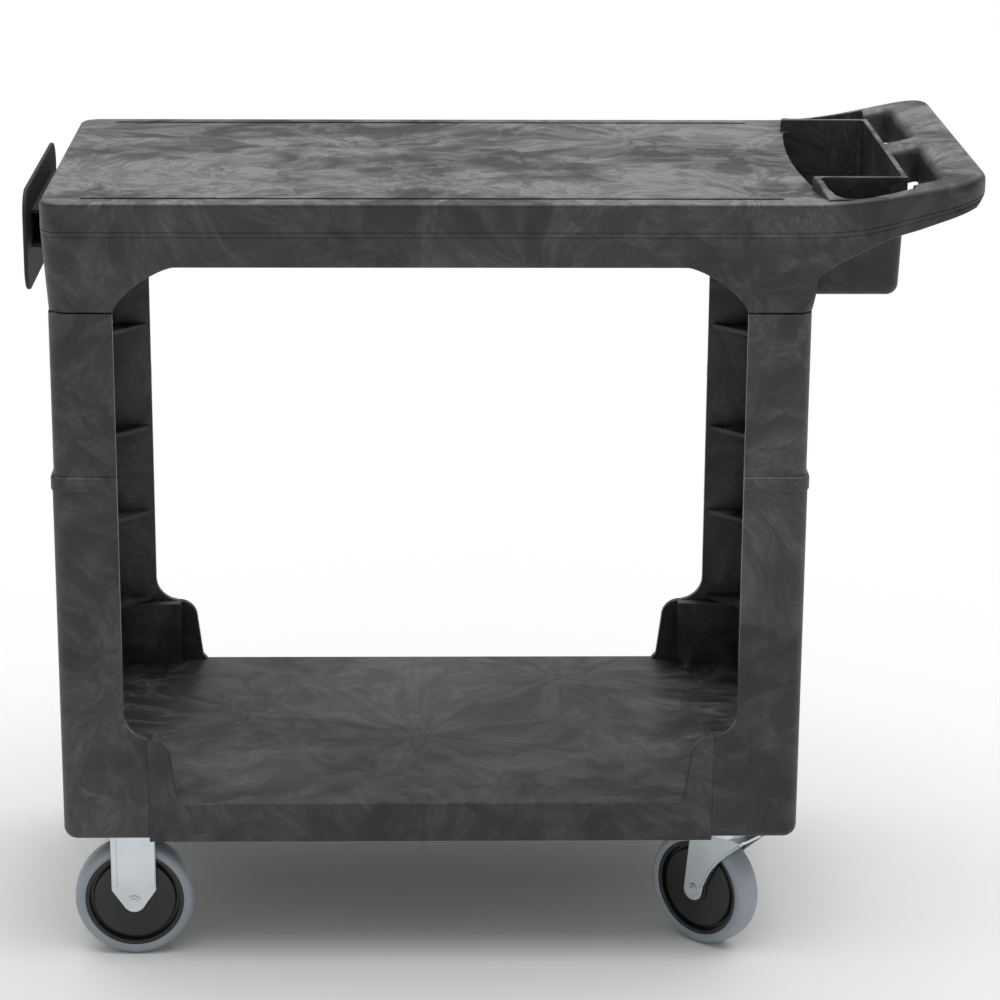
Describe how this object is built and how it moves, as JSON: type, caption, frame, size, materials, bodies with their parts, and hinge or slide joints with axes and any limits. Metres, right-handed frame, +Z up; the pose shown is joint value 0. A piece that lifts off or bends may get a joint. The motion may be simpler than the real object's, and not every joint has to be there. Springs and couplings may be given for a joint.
{
  "type": "service trolley",
  "caption": "Two-shelf service trolley in moulded structural foam with a raised push handle, a storage bin, a cord wrap, and rigid and swivel casters.",
  "frame": {"origin": "on the floor, under the middle of the whole trolley's length and width", "axes": "+X towards the push handle, +Y to the back of the trolley, +Z up"},
  "size_m": [0.965, 0.458, 0.8458],
  "materials": {
    "foam": "satin, moulded, with lighter grey flow streaks",
    "cord_plastic": "smooth satin black",
    "zinc": "bright zinc-plated pressed steel",
    "tyre": "non-marking grey thermoplastic rubber",
    "hub": "semi-gloss black polyolefin",
    "bush": "natural acetal"
  },
  "bodies": {
    "cart": {"top_shelf": "foam", "top_apron": "foam", "handle_end": "foam", "bottom_shelf": "foam", "leg_front_left": "foam", "leg_front_right": "foam", "leg_back_left": "foam", "leg_back_right": "foam", "cord_wrap": "cord_plastic", "cord_wrap_screws": "zinc", "screws_front_left": "zinc", "screws_front_right": "zinc", "screws_back_left": "zinc", "screws_back_right": "zinc", "rigid_fork_front": "zinc", "rigid_axle_front": "zinc", "rigid_nut_front": "zinc", "rigid_sleeve_front": "zinc", "rigid_fork_back": "zinc", "rigid_axle_back": "zinc", "rigid_nut_back": "zinc", "rigid_sleeve_back": "zinc", "swivel_plate_front": "zinc", "kingpin_front": "zinc", "race_balls_front": "zinc", "swivel_plate_back": "zinc", "kingpin_back": "zinc", "race_balls_back": "zinc"},
    "wheel_front_left": {"tyre_front_left": "tyre", "wheel_core_front_left": "hub", "wheel_bush_front_left": "bush"},
    "swivel_front": {"swivel_fork_front": "zinc", "swivel_axle_front": "zinc", "swivel_nut_front": "zinc", "swivel_sleeve_front": "zinc"},
    "wheel_front_right": {"tyre_front_right": "tyre", "wheel_core_front_right": "hub", "wheel_bush_front_right": "bush"},
    "wheel_back_left": {"tyre_back_left": "tyre", "wheel_core_back_left": "hub", "wheel_bush_back_left": "bush"},
    "swivel_back": {"swivel_fork_back": "zinc", "swivel_axle_back": "zinc", "swivel_nut_back": "zinc", "swivel_sleeve_back": "zinc"},
    "wheel_back_right": {"tyre_back_right": "tyre", "wheel_core_back_right": "hub", "wheel_bush_back_right": "bush"}
  },
  "joints": [
    {"name": "wheel_spin_front_left", "type": "hinge", "parent": "cart", "child": "wheel_front_left", "pos_m": [-0.3835, -0.186, 0.0635], "axis": [0, 1, 0], "continuous": true},
    {"name": "swivel_turn_front", "type": "hinge", "parent": "cart", "child": "swivel_front", "pos_m": [0.2445, -0.186, 0.134], "axis": [0, 0, 1], "continuous": true},
    {"name": "wheel_spin_front_right", "type": "hinge", "parent": "swivel_front", "child": "wheel_front_right", "pos_m": [0.22256, -0.16554, 0.0635], "axis": [0.682, 0.7314, 0], "continuous": true},
    {"name": "wheel_spin_back_left", "type": "hinge", "parent": "cart", "child": "wheel_back_left", "pos_m": [-0.3835, 0.186, 0.0635], "axis": [0, 1, 0], "continuous": true},
    {"name": "swivel_turn_back", "type": "hinge", "parent": "cart", "child": "swivel_back", "pos_m": [0.2445, 0.186, 0.134], "axis": [0, 0, 1], "continuous": true},
    {"name": "wheel_spin_back_right", "type": "hinge", "parent": "swivel_back", "child": "wheel_back_right", "pos_m": [0.22256, 0.16554, 0.0635], "axis": [-0.682, 0.7314, 0], "continuous": true}
  ]
}
